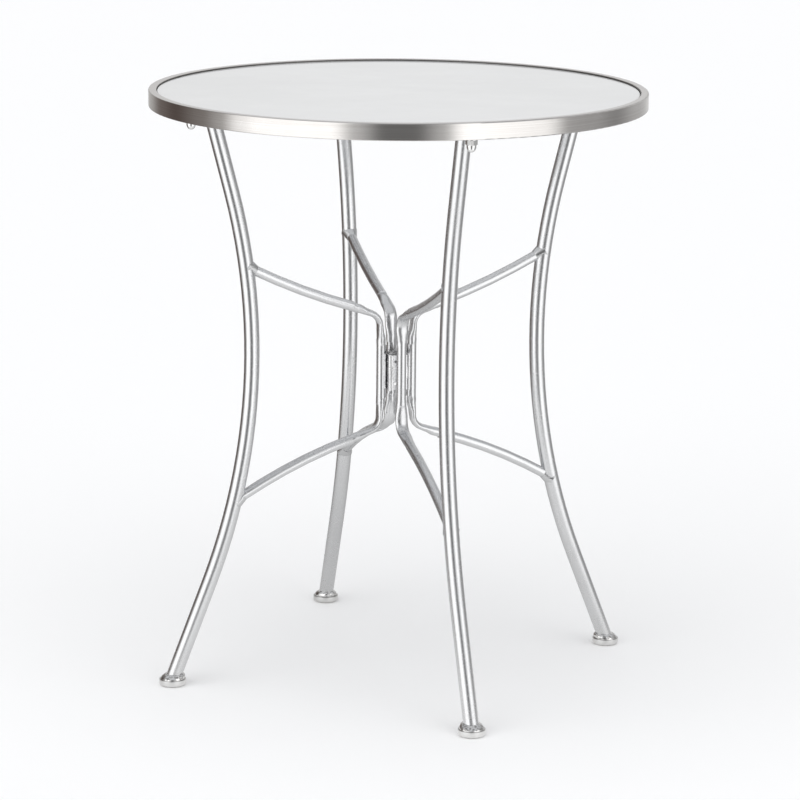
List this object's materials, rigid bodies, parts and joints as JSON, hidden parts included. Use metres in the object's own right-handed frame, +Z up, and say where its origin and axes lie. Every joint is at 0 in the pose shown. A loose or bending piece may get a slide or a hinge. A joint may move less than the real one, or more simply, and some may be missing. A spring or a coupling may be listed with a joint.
{
  "type": "bistro table",
  "caption": "Round bistro table: glass panel in a rolled metal ring on bowed tube legs, with C-shaped stretchers hinged at the centre so that the base folds.",
  "frame": {"origin": "on the floor under the table's centre", "axes": "+Z up; the four legs stand along -Y (front), +X (right), +Y (back) and -X (left)"},
  "size_m": [0.614, 0.614, 0.735],
  "materials": {
    "brushed_ring": "brushed",
    "white_glass": "glossy, back-painted white",
    "gasket": "matte",
    "polished_tube": "polished, bright",
    "bright_steel": "bright",
    "foot_metal": "bright",
    "glide_plastic": "matte",
    "hinge_steel": "zinc plated"
  },
  "bodies": {
    "front_wing": {"leg_front": "polished_tube", "leg_tab_front": "polished_tube", "washer_front": "bright_steel", "cap_nut_front": "bright_steel", "foot_cap_front": "foot_metal", "foot_glide_front": "glide_plastic", "stretcher_front": "polished_tube", "weld_upper_front": "polished_tube", "weld_lower_front": "polished_tube", "hinge_leaf_front_to_left": "hinge_steel", "hinge_leaf_front_to_right": "hinge_steel", "hinge_pin_front_left": "hinge_steel"},
    "right_wing": {"leg_right": "polished_tube", "leg_tab_right": "polished_tube", "washer_right": "bright_steel", "cap_nut_right": "bright_steel", "foot_cap_right": "foot_metal", "foot_glide_right": "glide_plastic", "stretcher_right": "polished_tube", "weld_upper_right": "polished_tube", "weld_lower_right": "polished_tube", "hinge_leaf_right_to_front": "hinge_steel", "hinge_leaf_right_to_back": "hinge_steel", "hinge_pin_right_front": "hinge_steel"},
    "back_wing": {"leg_back": "polished_tube", "leg_tab_back": "polished_tube", "washer_back": "bright_steel", "cap_nut_back": "bright_steel", "foot_cap_back": "foot_metal", "foot_glide_back": "glide_plastic", "stretcher_back": "polished_tube", "weld_upper_back": "polished_tube", "weld_lower_back": "polished_tube", "hinge_leaf_back_to_right": "hinge_steel", "hinge_leaf_back_to_left": "hinge_steel", "hinge_pin_back_right": "hinge_steel"},
    "left_wing": {"leg_left": "polished_tube", "leg_tab_left": "polished_tube", "washer_left": "bright_steel", "cap_nut_left": "bright_steel", "foot_cap_left": "foot_metal", "foot_glide_left": "glide_plastic", "stretcher_left": "polished_tube", "weld_upper_left": "polished_tube", "weld_lower_left": "polished_tube", "hinge_leaf_left_to_front": "hinge_steel", "hinge_leaf_left_to_back": "hinge_steel", "hinge_pin_left_back": "hinge_steel"},
    "tabletop": {"table_ring": "brushed_ring", "glass_panel": "white_glass", "panel_ledge": "brushed_ring", "panel_gasket": "gasket", "rim_plate_front": "polished_tube", "rim_plate_right": "polished_tube", "rim_plate_back": "polished_tube", "rim_plate_left": "polished_tube", "rim_bolt_front": "bright_steel", "rim_bolt_right": "bright_steel", "rim_bolt_back": "bright_steel", "rim_bolt_left": "bright_steel"}
  },
  "joints": [
    {"name": "fold", "type": "hinge", "parent": "front_wing", "child": "left_wing", "pos_m": [-0.012, -0.012, 0.38225], "axis": [0, 0, 1], "range_deg": [0, 74]},
    {"name": "fold_right", "type": "hinge", "parent": "front_wing", "child": "right_wing", "pos_m": [0.012, -0.012, 0.38225], "axis": [0, 0, 1], "range_deg": [0, 74]},
    {"name": "fold_back", "type": "hinge", "parent": "left_wing", "child": "back_wing", "pos_m": [-0.012, 0.012, 0.38225], "axis": [0, 0, 1], "range_deg": [-74, 0]},
    {"name": "top_lift", "type": "slide", "parent": "front_wing", "child": "tabletop", "axis": [0, 0, 1], "range_m": [0, 0.26]}
  ],
  "couplings": [
    {"joint": "fold_right", "follows": "fold", "ratio": 1},
    {"joint": "fold_back", "follows": "fold", "ratio": -1},
    {"joint": "top_lift", "follows": "fold", "m_per_rad": 0.20131}
  ]
}
